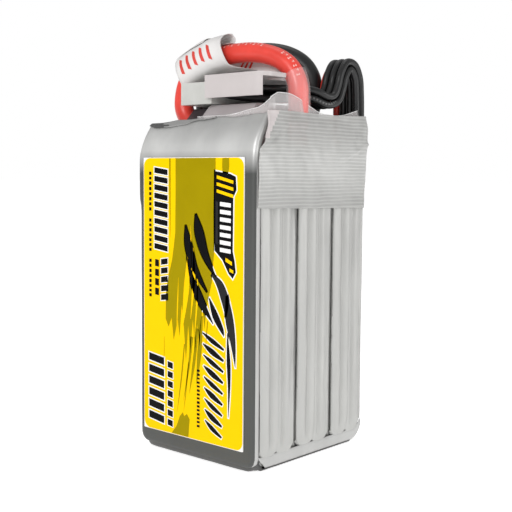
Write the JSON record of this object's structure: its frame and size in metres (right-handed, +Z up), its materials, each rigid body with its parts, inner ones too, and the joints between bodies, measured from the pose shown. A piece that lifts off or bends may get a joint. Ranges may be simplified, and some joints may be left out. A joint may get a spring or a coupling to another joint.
{
  "type": "lipo battery pack",
  "caption": "Upright lithium polymer pack of stacked foil pouch cells with a yellow face label, end tape, main leads with plug and balance leads with plug.",
  "frame": {"origin": "bottom centre of the pack, on the surface it stands on", "axes": "+Z up along the pack, -Y out of the label face, +X to the right seen from the label face, cells stacked along Y"},
  "size_m": [0.0366, 0.0404, 0.0988],
  "materials": {
    "pouch_foil": "satin foil laminate",
    "electrode": "dark wound electrode, hidden",
    "aluminium_tab": "bare",
    "nickel_tab": "nickel plated",
    "adhesive": "double-sided tissue tape",
    "cover_foil": "satin dark grey foil",
    "label_print": "printed gloss sticker",
    "foil_strip": "soft satin foil",
    "paper_grey": "insulating fish paper",
    "board_green": "solder mask",
    "solder": "solder",
    "film_dark": "insulating film",
    "filament_tape": "translucent filament strapping tape",
    "clear_film": "clear tape film",
    "plug_dark": "dark nylon",
    "plug_black": "nylon",
    "gold": "gold plated",
    "cap_clear": "milky polyethylene",
    "plug_white": "nylon",
    "tin": "tin plated",
    "clip_clear": "milky polypropylene",
    "silicone_red": "silicone",
    "silicone_black": "silicone",
    "tag_paper": "thin coated paper"
  },
  "bodies": {
    "pack": {"pouch_1": "pouch_foil", "pouch_2": "pouch_foil", "pouch_3": "pouch_foil", "pouch_4": "pouch_foil", "pouch_5": "pouch_foil", "pouch_6": "pouch_foil", "electrode_stacks": "electrode", "positive_tabs": "aluminium_tab", "negative_tabs": "nickel_tab", "adhesive_sheets": "adhesive", "front_cover": "cover_foil", "label": "label_print", "bottom_wrap": "foil_strip", "insulation_paper": "paper_grey", "connection_board": "board_green", "solder_joints": "solder", "top_insulator": "film_dark", "end_tape": "filament_tape", "tape_flap": "clear_film", "main_plug_housing": "plug_dark", "main_plug_cover": "plug_black", "main_contacts": "gold", "balance_plug": "plug_white", "balance_crimps": "tin", "red_lead": "silicone_red", "balance_wire_7": "silicone_red", "black_lead": "silicone_black", "balance_wire_1": "silicone_black", "balance_wire_2": "silicone_black", "balance_wire_3": "silicone_black", "balance_wire_4": "silicone_black", "balance_wire_5": "silicone_black", "balance_wire_6": "silicone_black", "pull_tag": "tag_paper"},
    "main_plug_cap": {"plug_cap": "cap_clear"},
    "balance_clip": {"plug_clip": "clip_clear"}
  },
  "joints": [
    {"name": "cap_slide", "type": "slide", "parent": "pack", "child": "main_plug_cap", "axis": [1, 0, 0], "range_m": [0, 0.0022]},
    {"name": "clip_slide", "type": "slide", "parent": "pack", "child": "balance_clip", "axis": [1, 0, 0], "range_m": [0, 0.0018]}
  ]
}
